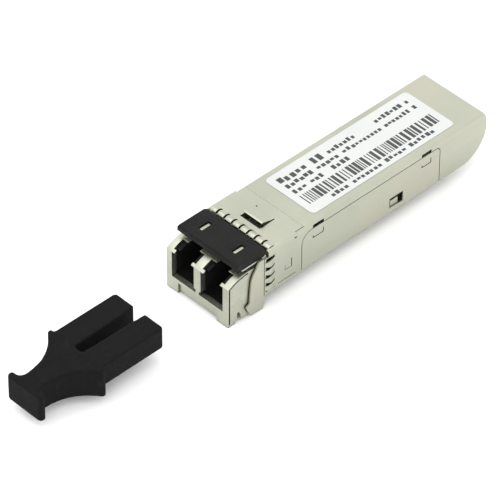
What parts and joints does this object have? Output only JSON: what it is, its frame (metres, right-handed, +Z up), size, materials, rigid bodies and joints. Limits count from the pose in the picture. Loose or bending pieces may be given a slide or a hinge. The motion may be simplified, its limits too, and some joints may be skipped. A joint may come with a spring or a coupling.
{
  "type": "optical transceiver module",
  "caption": "Small form-factor pluggable optical transceiver with a duplex fibre port, a bail latch, spring-finger collar and a two-prong dust plug.",
  "frame": {"origin": "middle of the flat underside of the bottom shell", "axes": "+X from the port face to the edge connector, +Y across, +Z up towards the label"},
  "size_m": [0.09, 0.0144, 0.011],
  "materials": {
    "cast_nickel": "satin nickel-plated die casting",
    "nickel_sheet": "warm nickel-plated sheet, satin",
    "stainless": "bare stainless steel",
    "black_plastic": "fine-textured black moulding",
    "plug_rubber": "matte black moulded rubber",
    "label_film": "white printed film",
    "circuit_laminate": "green solder mask with gold pads",
    "chip_plastic": "moulded chip package",
    "capacitor_ceramic": "tan chip ceramic",
    "ceramic": "ground white zirconia",
    "flex_film": "amber polyimide film"
  },
  "bodies": {
    "root": {"nose_housing": "cast_nickel", "lc_receptacle": "black_plastic", "emi_collar": "nickel_sheet", "top_cover": "nickel_sheet", "bottom_shell": "nickel_sheet", "label": "label_film", "latch_pivot_pin": "stainless", "latch_spring": "stainless", "tosa_barrel": "stainless", "tosa_fibre_stub": "ceramic", "tosa_can": "nickel_sheet", "tosa_flex": "flex_film", "rosa_barrel": "stainless", "rosa_fibre_stub": "ceramic", "rosa_can": "nickel_sheet", "rosa_flex": "flex_film", "osa_clamp": "black_plastic", "circuit_board": "circuit_laminate", "laser_driver_ic": "chip_plastic", "limiting_amplifier_ic": "chip_plastic", "microcontroller_ic": "chip_plastic", "memory_ic": "chip_plastic", "transmit_supply_inductor": "chip_plastic", "receive_supply_inductor": "chip_plastic", "transmit_bulk_capacitor": "capacitor_ceramic", "receive_bulk_capacitor": "capacitor_ceramic", "transmit_coupling_capacitor": "capacitor_ceramic", "receive_coupling_capacitor": "capacitor_ceramic"},
    "bail": {"bail_frame": "nickel_sheet", "bail_handle": "black_plastic", "bail_cam_shaft": "stainless"},
    "pawl": {"latch_pawl": "stainless"},
    "plug": {"dust_plug": "plug_rubber"}
  },
  "joints": [
    {"name": "bail_swing", "type": "hinge", "parent": "root", "child": "bail", "pos_m": [-0.0231, 0, -0.00045], "axis": [0, -1, 0], "range_deg": [0, 85]},
    {"name": "latch_pawl_rock", "type": "hinge", "parent": "root", "child": "pawl", "pos_m": [-0.0214, 0, -0.00055], "axis": [0, -1, 0], "range_deg": [0, 6], "deforming": ["latch_spring"]},
    {"name": "dust_plug_slide", "type": "slide", "parent": "root", "child": "plug", "axis": [1, 0, 0], "range_m": [0, 0.006]}
  ],
  "couplings": [
    {"joint": "latch_pawl_rock", "follows": "bail_swing", "ratio": 0.0705}
  ]
}
